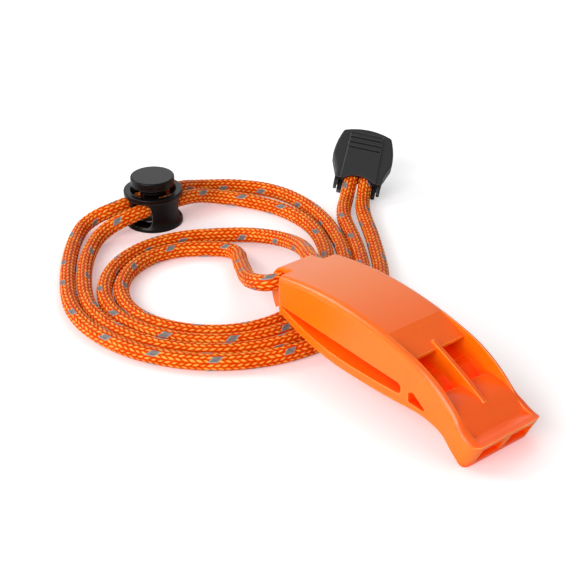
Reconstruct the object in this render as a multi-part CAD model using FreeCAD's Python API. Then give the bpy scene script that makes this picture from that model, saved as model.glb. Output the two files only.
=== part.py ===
"""Survival whistle on a braided neck lanyard, with a spring cord lock and a cord-end clip.

Millimetres.  +X runs along the whistle from the lug to the mouthpiece, +Y across it,
+Z up.  The origin is on the table under the middle of the whistle.  Everything is
drawn as it lies in the photograph: the mouth lip on the table, the keel over the
cords, and the cord in two turns on the left.  All heights are above the table.
"""

import math
import os

import FreeCAD, Part

V = FreeCAD.Vector

# Lanyard cord: a braided round cord, doubled from the whistle's lug to the clip
CORD_DIAMETER = 4.2
CORD_RADIUS = CORD_DIAMETER / 2
BEND_SHARE = 0.45            # share of the shorter run that each bend takes

# Whistle: overall form
WHISTLE_LENGTH = 79.0        # lug to upper lip
BODY_WIDTH = 19.6
MOUTH_WIDTH = 21.2           # the bite end flares past the rails
CROWN_HEIGHT = 22.0          # highest point of the top plate
CROWN_FROM_MOUTH = 48.5
REAR_TOP_HEIGHT = 19.4       # top of the plate at its rear edge
LUG_REACH = 8.0              # lug beyond the rear face of the body
SHOULDER_HEIGHT = 19.2       # top of the rails where they start to fall to the mouth
SHOULDER_FROM_MOUTH = 23.5
NECK_HEIGHT = 10.4           # top of the rails where the bite lip begins
NECK_FROM_MOUTH = 7.5
LIP_HEIGHT = 7.4             # upper lip
LIP_OVERHANG = 4.1           # upper lip ahead of the lower one
KEEL_HEIGHT = 4.8            # lowest point of the keel
KEEL_FROM_MOUTH = 45.5
ARCH_HEIGHT = 6.1            # where the keel turns down to the lower lip
ARCH_FROM_MOUTH = 21.5
REAR_KEEL_HEIGHT = 10.3      # bottom of the rear face
RAIL_ROUND = 1.7             # rounding along the outer top edges and round the rear face
TOE_ROUND = 1.1              # rounding of the lower lip
TOE_DROP = 0.8               # sharp corner of the lower lip, cut away by its rounding
CORNER_ROUND = 2.4           # down both sides of the mouth face
FLARE_START = 12.0           # behind the mouth face
FLARE_FULL = 4.8

# Whistle: plate, rails, windows and chambers
PLATE_WALL = 1.6
SIDE_WALL = 1.4
SEPTUM = 1.0
RAMP_FROM_MOUTH = 32.0       # where the plate starts to sink between the rails
RAMP_DROP = 1.5              # plate below the rails at the sounding edge
EDGE_WALL = 0.7              # thickness left at the sounding edge
WINDOW_REAR_FROM_MOUTH = 24.0
WINDOW_LENGTH = 8.2
FLOOR_REAR_HEIGHT = 12.0     # floor between the rails at the front of the windows
FLOOR_BROW_FROM_MOUTH = 7.0  # the floor swells towards this point before it falls
FLOOR_BROW_HEIGHT = 12.4
FLOOR_HOLLOW_FROM_MOUTH = 6.0  # and comes round past this one to the ridge
FLOOR_HOLLOW_HEIGHT = 8.4
RIDGE_FROM_MOUTH = 3.9
RIDGE_HEIGHT = 7.2
LIP_BEAD_RISE = 0.4          # the floor climbs from the ridge to this far above the upper lip
RIB_REAR_FROM_MOUTH = 25.7
RIB_RISE = 0.9               # rib above the plate at its rear end
RIB_FRONT_FROM_MOUTH = 8.5
RIB_FRONT_RISE = 0.3         # and above the floor at its front end
RIB_SWELL = 0.3              # rib top half way along, above the straight line
CHAMBER_FLOOR_WALL = 1.3
NEAR_CHAMBER_LENGTH = 50.0   # from the front of the windows; the two notes differ
FAR_CHAMBER_LENGTH = 45.0
WINDWAY_WIDTH = 7.2
WINDWAY_HEIGHT = 1.5         # at the windows; the windways are wide open at the mouth
WINDWAY_ROOF = 0.9
WINDWAY_LOW_SHARE = 0.3      # where the windways open, as shares of the mouth face
WINDWAY_TOP_SHARE = 0.82

# Whistle: long side slot, triangular hole and lug
SLOT_FRONT_FROM_MOUTH = 25.5
SLOT_HEIGHT = 2.9
SLOT_REAR_FROM_MOUTH = 69.8
SLOT_REAR_HEIGHT = 11.8
SLOT_END_ROUND = 1.3
KEEL_RAIL = 2.4
WEB = 2.4                    # between the slot and the triangular hole
TRIANGLE_LENGTH = 6.6
TRIANGLE_HEIGHT = 3.3
TRIANGLE_PEAK_AT = 1.5       # its highest corner, ahead of its rear edge
TRIANGLE_REAR_DROP = 0.8     # its rear edge ends below the highest corner
TRIANGLE_REAR_RAIL = 1.6     # keel left below its rear edge
TRIANGLE_TIP_RAIL = 1.5      # and below its tip
TRIANGLE_ROUND = 0.5
LUG_WIDTH = 10.4
LUG_TOP_RUN = 4.5           # how far the plate runs on before the lug turns down
LUG_TAIL_REACH = 6.1         # lowest point of the lug, behind the rear face
LUG_TAIL_HEIGHT = 5.8
LUG_SEAT = 0.6               # how far the lug is rooted in the rear wall
LUG_SEAT_HEIGHT = 12.6
LUG_EDGE_ROUND = 0.5
LUG_HOLE = 4.9
LUG_HOLE_BEHIND = 3.35       # middle of the hole, behind the rear face
LUG_HOLE_HEIGHT = 14.65
LUG_HOLE_FLARE = 0.5         # at both ends of the hole

# Cord lock: barrel, plunger and spring
LOCK_X = -107.0
LOCK_Y = 4.5
RIM_DIAMETER = 17.1
WAIST_DIAMETER = 14.9
WAIST_HEIGHT = 4.2
FOOT_DIAMETER = 16.8
BARREL_HEIGHT = 10.4
BARREL_BORE = 13.2
BARREL_FLOOR = 0.9
RIM_BAND = 1.3
RIM_LEDGE = 0.35             # rim proud of the neck below it
FOOT_BAND = 0.9
RIM_ROUND = 0.25
CORD_HEIGHT_IN_LOCK = 6.3
CORD_SPACING_IN_LOCK = 6.8
WINDOW_WIDTH = 5.0
WINDOW_SILL = 1.4
WINDOW_TOP_GAP = 0.2         # barrel window above the clamped cord
WINDOW_ROUND = 0.8
CAP_DIAMETER = 12.8
CAP_THICKNESS = 2.4
CAP_ROUND = 0.4
FLANGE_DIAMETER = 11.8       # plunger flange, below the cords
FLANGE_THICKNESS = 1.0
STEM_DIAMETER = 8.0          # under the cap
STEM_HEAD = 2.0              # full round length of the stem, between the cords and the cap
POST_WIDTH = 2.0             # between the two cords
PLUNGER_TRAVEL = 1.65
CORD_CLEARANCE = 0.15
SPRING_WIRE = 0.45
SPRING_FOOT_RADIUS = 4.7
SPRING_TOP_RADIUS = 3.0
SPRING_TURNS = 2.5
SPRING_SEAT_GAP = 0.02

# Clip over both cord ends: two shells snapped together, leaning up off the table
CLIP_LENGTH = 20.1
CLIP_SHOULDER = 18.7         # height of the top corners above the prong tips
CLIP_TOP_WIDTH = 14.6
CLIP_WIDEST = 18.2
CLIP_WIDEST_AT = 10.2
CLIP_SIDE_SWELL = 0.45       # side's bulge between the widest place and the top corner
CLIP_WAIST_WIDTH = 14.5
CLIP_WAIST_AT = 5.4
CLIP_FOOT_WIDTH = 14.2
CLIP_SHELL = 3.2             # thickness of each shell
CLIP_CORNER = 1.0
CLIP_EDGE_ROUND = 0.7
CLIP_CORD_SPACING = 4.4
CLIP_CORD_CLEARANCE = 0.2
CLIP_CAVITY_END = 12.5
CLIP_CORD_END = 10.5         # how far the cord's ends reach in
CLIP_LEAN = 40.0
CLIP_HEADING = 125.0         # degrees from +X
CLIP_ROLL = 12.0
CLIP_X = -79.3               # middle of the prong tips
CLIP_Y = 58.9
CLIP_Z = 2.52
PANEL_TOP_WIDTH = 10.4
PANEL_FOOT_WIDTH = 11.2
PANEL_TOP_MARGIN = 0.8
PANEL_RISE = 0.35
PANEL_CHAMFER = 0.3
GROOVES = 4
GROOVE_PITCH = 1.66
GROOVE_WIDTH = 0.65
GROOVE_DEPTH = 0.45
GROOVE_LENGTH = 9.8
FIRST_GROOVE_FROM_TOP = 1.9
ARCH_RISE = 1.5              # arch over the cords, above the foot of the shells
PRONG_LENGTH = 2.9
OUTER_PRONG = (6.1, 7.1)     # half widths between which the front shell's prongs stand
INNER_PRONG = (4.5, 5.9)     # and the back shell's
OUTER_PRONG_SHORTER = 0.2
PRONG_DEPTH = 2.2
PRONG_ROUND = 0.4

# Cord route, chosen by hand from the clip to the lug and back: points x, y and the
# height above a cord that lies on the table.  The bends pass inside these points.
CLIP_TO_LOCK = [
    (-71.6, 46.8, 0), (-60.6, 41.1, 0), (-49.6, 34.6, 0), (-39.0, 26.8, 0), (-31.4, 15.8, 0),
    (-27.4, 3.4, 0), (-27.0, -7.4, 0), (-29.6, -17.6, 0), (-35.2, -27.0, 0), (-43.1, -34.3, 0),
    (-52.9, -39.1, 0), (-64.0, -40.8, 0), (-75.0, -38.8, 0), (-85.4, -33.2, 0), (-95.8, -26.0, 0),
    (-105.4, -15.6, 0.6)]
LOCK_TO_LUG = [
    (-104.2, 24.6, 0.6), (-96.0, 31.6, 0), (-85.4, 35.8, 0), (-73.8, 36.0, 0), (-63.0, 32.2, 0),
    (-53.2, 26.0, 0), (-44.9, 17.6, 0), (-38.9, 7.0, 0), (-36.2, -4.0, 0), (-37.8, -14.6, 0),
    (-43.8, -23.8, 0), (-52.9, -30.1, 0), (-63.4, -32.2, 0), (-73.6, -29.4, 0), (-81.4, -22.6, 0),
    (-85.8, -13.0, 0), (-84.7, -3.2, 0), (-80.2, 3.2, 0), (-75.6, 8.4, 0), (-70.4, 8.2, 0.4),
    (-65.2, 4.4, 1.8), (-57.8, 0.0, 4.2), (-50.0, -5.0, 7.2), (-42.5, -8.9, 10.4)]
LUG_TO_LOCK = [
    (-42.4, 10.4, 10.4), (-50.8, 15.6, 8.0), (-60.0, 19.2, 5.0), (-69.6, 20.4, 2.2), (-78.4, 17.8, 0.4),
    (-84.4, 10.8, 0), (-89.2, 2.8, 0), (-91.5, -6.8, 0), (-89.8, -17.2, 0), (-84.0, -26.6, 0),
    (-75.2, -33.6, 0), (-64.0, -36.6, 0), (-52.9, -34.6, 0), (-43.3, -29.2, 0), (-36.1, -20.8, 0),
    (-32.2, -10.8, 0), (-31.9, 0.5, 0), (-35.1, 12.0, 0), (-41.4, 21.8, 0), (-50.4, 30.2, 0),
    (-61.0, 36.4, 0), (-72.6, 41.0, 0), (-84.8, 43.2, 0), (-96.6, 41.8, 0), (-106.4, 35.2, 0),
    (-112.2, 25.2, 0.6)]
LOCK_TO_CLIP = [
    (-113.8, -14.6, 0.8), (-107.4, -22.5, 0), (-98.1, -30.0, 0), (-87.5, -37.1, 0), (-76.2, -43.0, 0),
    (-64.0, -45.1, 0), (-52.0, -43.3, 0), (-41.5, -38.6, 0), (-32.6, -31.3, 0), (-26.1, -22.1, 0),
    (-22.3, -11.4, 0), (-21.5, -0.3, 0), (-23.8, 11.2, 0), (-28.8, 21.9, 0), (-36.4, 31.0, 0),
    (-48.0, 39.4, 0), (-58.6, 46.4, 0), (-69.0, 52.6, 0)]
LUG_CORNER = 8.0             # where the cord turns, either side of the lug
LUG_TILT = 0.3               # the near strand leaves the lug a little higher
LOCK_CORNER = 10.4           # where the cord turns, either side of the lock

mouth_x = WHISTLE_LENGTH / 2
rear_x = mouth_x - WHISTLE_LENGTH + LUG_REACH
half_width = BODY_WIDTH / 2
inner_half = half_width - SIDE_WALL
edge_x = mouth_x - WINDOW_REAR_FROM_MOUTH
window_front_x = edge_x + WINDOW_LENGTH
reach = WHISTLE_LENGTH       # longer than any cut has to be
overcut = 1.0                # how far a cut goes past the face that it opens
touch = 0.01                 # how near counts as being there, when edges are picked


def side(from_mouth, height):
    """Point on the whistle's side view, measured back from the upper lip."""
    return V(mouth_x - from_mouth, 0, height)


def arc_from(start, tangent, end):
    """Arc in the side view that leaves start along tangent; gives its tangent at end too."""
    chord = end - start
    across = chord.dot(V(-tangent.z, 0, tangent.x))
    radius = chord.dot(chord) / (2 * across)
    centre = start + V(-tangent.z, 0, tangent.x) * radius
    outward = (start + end) * 0.5 - centre
    middle = centre + outward * (abs(radius) / outward.Length)
    spoke = (end - centre) * (1 / radius)
    return Part.Arc(start, middle, end).toShape(), V(-spoke.z, 0, spoke.x)


def line(start, end):
    return Part.LineSegment(start, end).toShape()


def bezier(poles):
    curve = Part.BezierCurve()
    curve.setPoles(poles)
    return curve.toShape()


def prism(edges, y_from, y_to):
    """Solid of a side-view outline between two planes across the whistle."""
    wire = Part.Wire(Part.__sortEdges__(edges))
    solid = Part.Face(wire).extrude(V(0, y_to - y_from, 0))
    solid.translate(V(0, y_from, 0))
    return solid


def polygon_prism(points, y_from, y_to):
    return prism([line(a, b) for a, b in zip(points, points[1:] + points[:1])], y_from, y_to)


def height_on(edges, x):
    """Height at which a side-view curve passes over x."""
    plumb = line(V(x, 0, -reach), V(x, 0, reach))
    return min((edge.distToShape(plumb) for edge in edges), key=lambda found: found[0])[1][0][0].z


def edges_where(solid, test):
    return [edge for edge in solid.Edges if test(edge.BoundBox)]


crown = side(CROWN_FROM_MOUTH, CROWN_HEIGHT)
shoulder = side(SHOULDER_FROM_MOUTH, SHOULDER_HEIGHT)
neck = side(NECK_FROM_MOUTH, NECK_HEIGHT)
lip = side(0, LIP_HEIGHT)
toe = side(LIP_OVERHANG, -TOE_DROP)
arch = side(ARCH_FROM_MOUTH, ARCH_HEIGHT)
keel = side(KEEL_FROM_MOUTH, KEEL_HEIGHT)
rear_top = V(rear_x, 0, REAR_TOP_HEIGHT)
rear_keel = V(rear_x, 0, REAR_KEEL_HEIGHT)


def rail_curve():
    """Top of the rails, from the rear edge over the crown and down to the upper lip."""
    rear_arc, _ = arc_from(crown, V(-1, 0, 0), rear_top)
    front_arc, slope = arc_from(crown, V(1, 0, 0), shoulder)
    fall, slope = arc_from(shoulder, slope, neck)
    flick, _ = arc_from(neck, slope, lip)
    return [rear_arc, front_arc, fall, flick]


def keel_curve():
    """Underside, from the rear face along the keel and down to the lower lip."""
    rear_arc, _ = arc_from(keel, V(-1, 0, 0), rear_keel)
    front_arc, slope = arc_from(keel, V(1, 0, 0), arch)
    drop, _ = arc_from(arch, slope, toe)
    return [rear_arc, front_arc, drop]


def plan_prism():
    """Parallel sides that flare into the bite end, carried up along the lean of the mouth face."""
    lean = lip - toe
    flare_x = toe.x - FLARE_START
    full_x = toe.x - FLARE_FULL
    mouth_half = MOUTH_WIDTH / 2
    swell = (full_x - flare_x) / 2
    bend = (mouth_half - half_width) / 2
    edges = []
    for hand in (-1, 1):
        bottom = V(flare_x, hand * half_width, 0)
        turn = V(flare_x + swell, hand * (half_width + bend), 0)
        top = V(full_x, hand * mouth_half, 0)
        rear = V(rear_x - reach, hand * half_width, 0)
        front = V(toe.x, hand * mouth_half, 0)
        poles = [bottom, V(turn.x, bottom.y, 0), V(turn.x, top.y, 0), top]
        edges += [line(rear, bottom), bezier(poles), line(top, front)]
    edges.append(line(V(rear_x - reach, -half_width, 0), V(rear_x - reach, half_width, 0)))
    edges.append(line(V(toe.x, -mouth_half, 0), V(toe.x, mouth_half, 0)))
    face = Part.Face(Part.Wire(Part.__sortEdges__(edges)))
    solid = face.extrude(lean * (CROWN_HEIGHT / LIP_HEIGHT + overcut))
    solid.translate(V(0, 0, toe.z) - lean * (overcut / 2))
    return solid


def whistle_block():
    """The moulding's outside: the side view carried across and trimmed to the plan."""
    outline = rail_curve() + [line(lip, toe)] + keel_curve() + [line(rear_keel, rear_top)]
    block = prism(outline, -MOUTH_WIDTH, MOUTH_WIDTH)
    toe_edge = edges_where(block, lambda b: b.YLength > BODY_WIDTH and b.ZMax < touch)
    block = block.makeFillet(TOE_ROUND, toe_edge)
    plan = plan_prism()
    block = block.common(plan)
    corners = edges_where(plan, lambda b: b.ZLength > CROWN_HEIGHT and b.XMax > mouth_x)
    outside = MOUTH_WIDTH / 2 - CORNER_ROUND - touch
    top_edges = edges_where(
        block, lambda b: min(abs(b.YMin), abs(b.YMax)) > outside
        and b.ZMin > LIP_HEIGHT - CORNER_ROUND / 2 and b.XLength > CORNER_ROUND / 2)
    rear_edges = edges_where(
        block, lambda b: abs(b.XMin - rear_x) < touch and abs(b.XMax - rear_x) < touch
        and b.ZMax > REAR_TOP_HEIGHT - touch)
    block = block.makeFillet(RAIL_ROUND, top_edges + rear_edges)
    return block.common(plan.makeFillet(CORNER_ROUND, corners))


def floor_curve():
    """Floor between the rails: level past the windows, then down and round to the ridge."""
    brow = side(FLOOR_BROW_FROM_MOUTH, FLOOR_BROW_HEIGHT)
    hollow = side(FLOOR_HOLLOW_FROM_MOUTH, FLOOR_HOLLOW_HEIGHT)
    ridge = side(RIDGE_FROM_MOUTH, RIDGE_HEIGHT)
    return bezier([V(window_front_x, 0, FLOOR_REAR_HEIGHT), brow, hollow, ridge])


def recess_outline():
    """The space between the rails, over the ramp, the windows and the mouth floor."""
    ramp_top = side(RAMP_FROM_MOUTH, height_on(rail_curve(), mouth_x - RAMP_FROM_MOUTH))
    sounding_edge = V(edge_x, 0, height_on(rail_curve(), edge_x) - RAMP_DROP)
    floor_rear = V(window_front_x, 0, FLOOR_REAR_HEIGHT)
    sky = CROWN_HEIGHT + overcut
    rear = [V(ramp_top.x, 0, sky), ramp_top, sounding_edge, floor_rear]
    front = lip_line() + [V(mouth_x + overcut, 0, sky), V(ramp_top.x, 0, sky)]
    return [floor_curve()] + [line(a, b) for part in (rear, front) for a, b in zip(part, part[1:])]


def lip_line():
    """The bite lip's top, from the ridge to just past the upper lip."""
    return [side(RIDGE_FROM_MOUTH, RIDGE_HEIGHT), V(mouth_x + overcut, 0, LIP_HEIGHT + LIP_BEAD_RISE)]


def chamber_outline(length):
    """Tone chamber in side view: plate above, floor over the slot and the triangle below."""
    rails = rail_curve()
    back_x = window_front_x - length
    ramp_x = mouth_x - RAMP_FROM_MOUTH
    ceiling_back = V(back_x, 0, height_on(rails, back_x) - PLATE_WALL)
    ceiling_front = V(ramp_x, 0, height_on(rails, ramp_x) - PLATE_WALL - EDGE_WALL)
    under_edge = V(edge_x, 0, height_on(rails, edge_x) - RAMP_DROP - EDGE_WALL)
    top, _ = arc_from(ceiling_front, tangent_of_crown(ramp_x), ceiling_back)
    wall = V(0, 0, CHAMBER_FLOOR_WALL)
    hip = triangle_top() + wall
    knee = slot_top_front() + wall
    floor_back = V(back_x, 0, slot_top_height(back_x)) + wall
    drop = (triangle_tip().z - triangle_top().z) / (triangle_tip().x - triangle_top().x)
    low = V(window_front_x, 0, hip.z + drop * (window_front_x - hip.x))
    brow = V(window_front_x, 0, FLOOR_REAR_HEIGHT + overcut)
    below_edge = V(edge_x, 0, brow.z)
    corners = [ceiling_back, floor_back, knee, hip, low, brow, below_edge, under_edge, ceiling_front]
    return [top] + [line(a, b) for a, b in zip(corners, corners[1:])]


def tangent_of_crown(x):
    """Direction of the rear crown arc at x, pointing to the rear."""
    drop = CROWN_HEIGHT - REAR_TOP_HEIGHT
    run = crown.x - rear_x
    radius = (run * run + drop * drop) / (2 * drop)
    angle = math.asin((crown.x - x) / radius)
    return V(-math.cos(angle), 0, -math.sin(angle))


def slot_top_height(x):
    """Upper edge of the long side slot: a straight line from its rear point to its front."""
    rear = side(SLOT_REAR_FROM_MOUTH, SLOT_REAR_HEIGHT)
    front = slot_top_front()
    return rear.z + (front.z - rear.z) * (x - rear.x) / (front.x - rear.x)


def slot_top_front():
    front_x = mouth_x - SLOT_FRONT_FROM_MOUTH
    return V(front_x, 0, height_on(keel_curve(), front_x) + KEEL_RAIL + SLOT_HEIGHT)


def side_slot():
    """Long tapered slot right through the width, above the keel rail."""
    rear = side(SLOT_REAR_FROM_MOUTH, SLOT_REAR_HEIGHT)
    front = slot_top_front()
    low_front = V(front.x, 0, front.z - SLOT_HEIGHT)
    belly = V(keel.x, 0, keel.z + KEEL_RAIL)
    rear_run, _ = arc_from(belly, V(-1, 0, 0), rear)
    front_run, _ = arc_from(belly, V(1, 0, 0), low_front)
    solid = prism([rear_run, front_run, line(low_front, front), line(front, rear)], -reach, reach)
    ends = edges_where(solid, lambda b: b.YLength > reach and b.XMin > front.x - touch)
    return solid.makeFillet(SLOT_END_ROUND, ends)


def triangle_back():
    """Lowest point of the triangular hole's rear edge."""
    back_x = mouth_x - SLOT_FRONT_FROM_MOUTH + WEB
    return V(back_x, 0, height_on(keel_curve(), back_x) + TRIANGLE_REAR_RAIL)


def triangle_top():
    return triangle_back() + V(TRIANGLE_PEAK_AT, 0, TRIANGLE_HEIGHT)


def triangle_tip():
    tip_x = triangle_back().x + TRIANGLE_LENGTH
    return V(tip_x, 0, height_on(keel_curve(), tip_x) + TRIANGLE_TIP_RAIL)


def side_triangle():
    """Small triangular hole ahead of the slot, right through the width."""
    low = triangle_back()
    high = V(low.x, 0, triangle_top().z - TRIANGLE_REAR_DROP)
    solid = polygon_prism([low, high, triangle_top(), triangle_tip()], -reach, reach)
    corners = edges_where(solid, lambda b: b.YLength > reach)
    return solid.makeFillet(TRIANGLE_ROUND, corners)


def windway(hand):
    """Air channel on one side of the septum: wide open at the mouth, narrow at the window."""
    exit_top = V(window_front_x, 0, FLOOR_REAR_HEIGHT - WINDWAY_ROOF)
    exit_low = exit_top - V(0, 0, WINDWAY_HEIGHT)
    roof = side(RIDGE_FROM_MOUTH, RIDGE_HEIGHT - WINDWAY_ROOF)
    mouth_top = toe + (lip - toe) * WINDWAY_TOP_SHARE
    mouth_low = toe + (lip - toe) * WINDWAY_LOW_SHARE
    outside_top = V(mouth_x + overcut, 0, mouth_top.z)
    outside_low = mouth_low + (mouth_low - exit_low).normalize() * LIP_OVERHANG
    back = V(-overcut, 0, 0)
    outline = [exit_top, exit_top + back, exit_low + back, exit_low]
    outline += [outside_low, outside_top, mouth_top, roof]
    middle = (SEPTUM / 2 + inner_half) / 2
    low = hand * middle - WINDWAY_WIDTH / 2
    return polygon_prism(outline, low, low + WINDWAY_WIDTH)


def lug():
    """Central lug: the plate's line runs on, turns down behind the hole and tapers to a tail."""
    root_x = rear_x + RAIL_ROUND + touch
    root = V(root_x, 0, height_on(rail_curve(), root_x))
    along = tangent_of_crown(root_x)
    bend = root + along * LUG_TOP_RUN
    radius = (bend.x - (rear_x - LUG_REACH)) / (1 + along.z)
    back = bend + V(-along.z, 0, along.x) * radius - V(radius, 0, 0)
    tail = V(rear_x - LUG_TAIL_REACH, 0, LUG_TAIL_HEIGHT)
    seat = V(rear_x + LUG_SEAT, 0, LUG_SEAT_HEIGHT)
    over, _ = arc_from(bend, along, back)
    under, _ = arc_from(back, V(0, 0, -1), tail)
    edges = [line(root, bend), over, under, line(tail, seat), line(seat, root)]
    solid = prism(edges, -LUG_WIDTH / 2, LUG_WIDTH / 2)
    outer = edges_where(solid, lambda b: b.YLength < touch and b.XMax < rear_x)
    return solid.makeFillet(LUG_EDGE_ROUND, outer).cut(lug_hole())


def lug_hole():
    """The lanyard's hole across the lug, flared at both ends."""
    centre = lug_hole_centre()
    radius = LUG_HOLE / 2
    depth = LUG_HOLE_FLARE + overcut
    tools = []
    for out in (V(0, -1, 0), V(0, 1, 0)):
        tools.append(Part.makeCylinder(radius, LUG_WIDTH, centre, out))
        flare_start = centre + out * (LUG_WIDTH / 2 - LUG_HOLE_FLARE)
        tools.append(Part.makeCone(radius, radius + depth, depth, flare_start, out))
    return tools


def lug_hole_centre():
    return V(rear_x - LUG_HOLE_BEHIND, 0, LUG_HOLE_HEIGHT)


def rib_space():
    """What is cleared above the septum, so that its top is left as a low rib."""
    back_x = mouth_x - RIB_REAR_FROM_MOUTH
    front_x = mouth_x - RIB_FRONT_FROM_MOUTH
    rear = V(back_x, 0, height_on(rail_curve(), back_x) - RAMP_DROP + RIB_RISE)
    front = V(front_x, 0, height_on([floor_curve()], front_x) + RIB_FRONT_RISE)
    below = front - V(0, 0, CROWN_HEIGHT)
    over = prism(recess_outline(), -SEPTUM / 2, SEPTUM / 2)
    middle = (rear + front) * 0.5 + V(0, 0, RIB_SWELL)
    sides = [line(front, below), line(below, V(rear.x, 0, below.z)), line(V(rear.x, 0, below.z), rear)]
    rib = prism(sides + [Part.Arc(rear, middle, front).toShape()], -SEPTUM, SEPTUM)
    return over.cut(rib)


def whistle_body():
    cuts = [side_slot(), side_triangle(), rib_space()]
    for hand, length in ((-1, NEAR_CHAMBER_LENGTH), (1, FAR_CHAMBER_LENGTH)):
        inner, outer = sorted((hand * SEPTUM / 2, hand * inner_half))
        cuts.append(prism(recess_outline(), inner, outer))
        cuts.append(prism(chamber_outline(length), inner, outer))
        window = Part.makeBox(WINDOW_LENGTH, outer - inner, CROWN_HEIGHT, V(edge_x, inner, FLOOR_REAR_HEIGHT))
        cuts.append(window)
        cuts.append(windway(hand))
    return whistle_block().cut(cuts).fuse(lug()).removeSplitter()


def cord_points():
    """The whole route: clip, lock, whistle's lug, lock and clip again."""
    lift = CORD_RADIUS
    front_x = LOCK_X + CORD_SPACING_IN_LOCK / 2
    back_x = LOCK_X - CORD_SPACING_IN_LOCK / 2
    low_y = LOCK_Y - LOCK_CORNER
    high_y = LOCK_Y + LOCK_CORNER
    lock_z = CORD_HEIGHT_IN_LOCK
    eye = lug_hole_centre()
    near = [V(x, y, z + lift) for x, y, z in CLIP_TO_LOCK]
    near += [V(front_x, low_y, lock_z), V(front_x, high_y, lock_z)]
    near += [V(x, y, z + lift) for x, y, z in LOCK_TO_LUG]
    through = [V(eye.x, -LUG_CORNER, eye.z + LUG_TILT), V(eye.x, LUG_CORNER, eye.z - LUG_TILT)]
    far = [V(x, y, z + lift) for x, y, z in LUG_TO_LOCK]
    far += [V(back_x, high_y, lock_z), V(back_x, low_y, lock_z)]
    far += [V(x, y, z + lift) for x, y, z in LOCK_TO_CLIP]
    return clip_cord_line(-1) + near + through + far + clip_cord_line(1)[::-1]


def clip_cord_line(hand):
    """End of one cord inside the clip, and the point where it comes down to the table."""
    across = hand * CLIP_CORD_SPACING / 2
    inside = clip_point(across, CLIP_CORD_END, 0)
    mouth = clip_point(across, 0, 0)
    down = (mouth - inside).normalize()
    return [inside, inside + down * ((CORD_RADIUS - inside.z) / down.z)]


def cord_path(points):
    """Straight runs joined by tangent arcs, each as large as its two runs allow."""
    edges = []
    radii = []
    start = points[0]
    for before, corner, after in zip(points, points[1:], points[2:]):
        come = corner - before
        leave = after - corner
        turn = come.getAngle(leave)
        tangent = BEND_SHARE * min(come.Length, leave.Length)
        radius = tangent / math.tan(turn / 2)
        come.normalize()
        leave.normalize()
        bend_from = corner - come * tangent
        bend_to = corner + leave * tangent
        inward = (leave - come).normalize()
        middle = corner + inward * (radius / math.cos(turn / 2) - radius)
        edges.append(line(start, bend_from))
        edges.append(Part.Arc(bend_from, middle, bend_to).toShape())
        radii.append(radius)
        start = bend_to
    edges.append(line(start, points[-1]))
    return Part.Wire(edges), radii


def lanyard_cord():
    points = cord_points()
    path, radii = cord_path(points)
    section = Part.Wire(Part.makeCircle(CORD_RADIUS, points[0], points[1] - points[0]))
    tube = path.makePipeShell([section], True, True)
    length = path.Length
    area = math.pi * CORD_RADIUS ** 2
    print("cord length %.1f, volume over section times length %.4f" % (length, tube.Volume / (area * length)))
    print("bend radii", " ".join("%.1f" % radius for radius in radii))
    return tube


def in_lock(solid):
    solid.translate(V(LOCK_X, LOCK_Y, 0))
    return solid


def turned(points_and_arcs):
    """Solid of revolution about the lock's axis."""
    face = Part.Face(Part.Wire(points_and_arcs))
    return face.revolve(V(0, 0, 0), V(0, 0, 1), 360)


def lock_barrel():
    """Spool-shaped barrel: bored from the top, with two windows on each side for the cords."""
    rim, waist, foot = RIM_DIAMETER / 2, WAIST_DIAMETER / 2, FOOT_DIAMETER / 2
    bore = BARREL_BORE / 2
    foot_top = V(foot, 0, FOOT_BAND)
    waist_point = V(waist, 0, WAIST_HEIGHT)
    neck_top = V(rim - RIM_LEDGE, 0, BARREL_HEIGHT - RIM_BAND)
    lower, _ = arc_from(waist_point, V(0, 0, -1), foot_top)
    upper, _ = arc_from(waist_point, V(0, 0, 1), neck_top)
    inside = [neck_top, V(rim, 0, neck_top.z), V(rim, 0, BARREL_HEIGHT), V(bore, 0, BARREL_HEIGHT)]
    inside += [V(bore, 0, BARREL_FLOOR), V(0, 0, BARREL_FLOOR), V(0, 0, 0), V(foot, 0, 0), foot_top]
    edges = [lower, upper] + [line(a, b) for a, b in zip(inside, inside[1:])]
    barrel = turned(Part.__sortEdges__(edges))
    barrel = barrel.makeFillet(RIM_ROUND, edges_where(barrel, lambda b: b.ZMin > BARREL_HEIGHT - touch))
    top = CORD_HEIGHT_IN_LOCK + CORD_RADIUS + WINDOW_TOP_GAP
    windows = []
    for hand in (-1, 1):
        middle = hand * CORD_SPACING_IN_LOCK / 2
        corner = V(middle - WINDOW_WIDTH / 2, -foot, WINDOW_SILL)
        window = Part.makeBox(WINDOW_WIDTH, 2 * foot, top - WINDOW_SILL, corner)
        uprights = edges_where(window, lambda b: b.YLength > foot)
        windows.append(window.makeFillet(WINDOW_ROUND, uprights))
    return in_lock(barrel.cut(windows))


def plunger_heights():
    """Underside, top of the lower flange, underside of the upper one, underside of the cap."""
    flange_top = CORD_HEIGHT_IN_LOCK - CORD_RADIUS - CORD_CLEARANCE
    head_foot = CORD_HEIGHT_IN_LOCK + CORD_RADIUS + PLUNGER_TRAVEL + CORD_CLEARANCE
    return flange_top - FLANGE_THICKNESS, flange_top, head_foot, head_foot + STEM_HEAD


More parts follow.
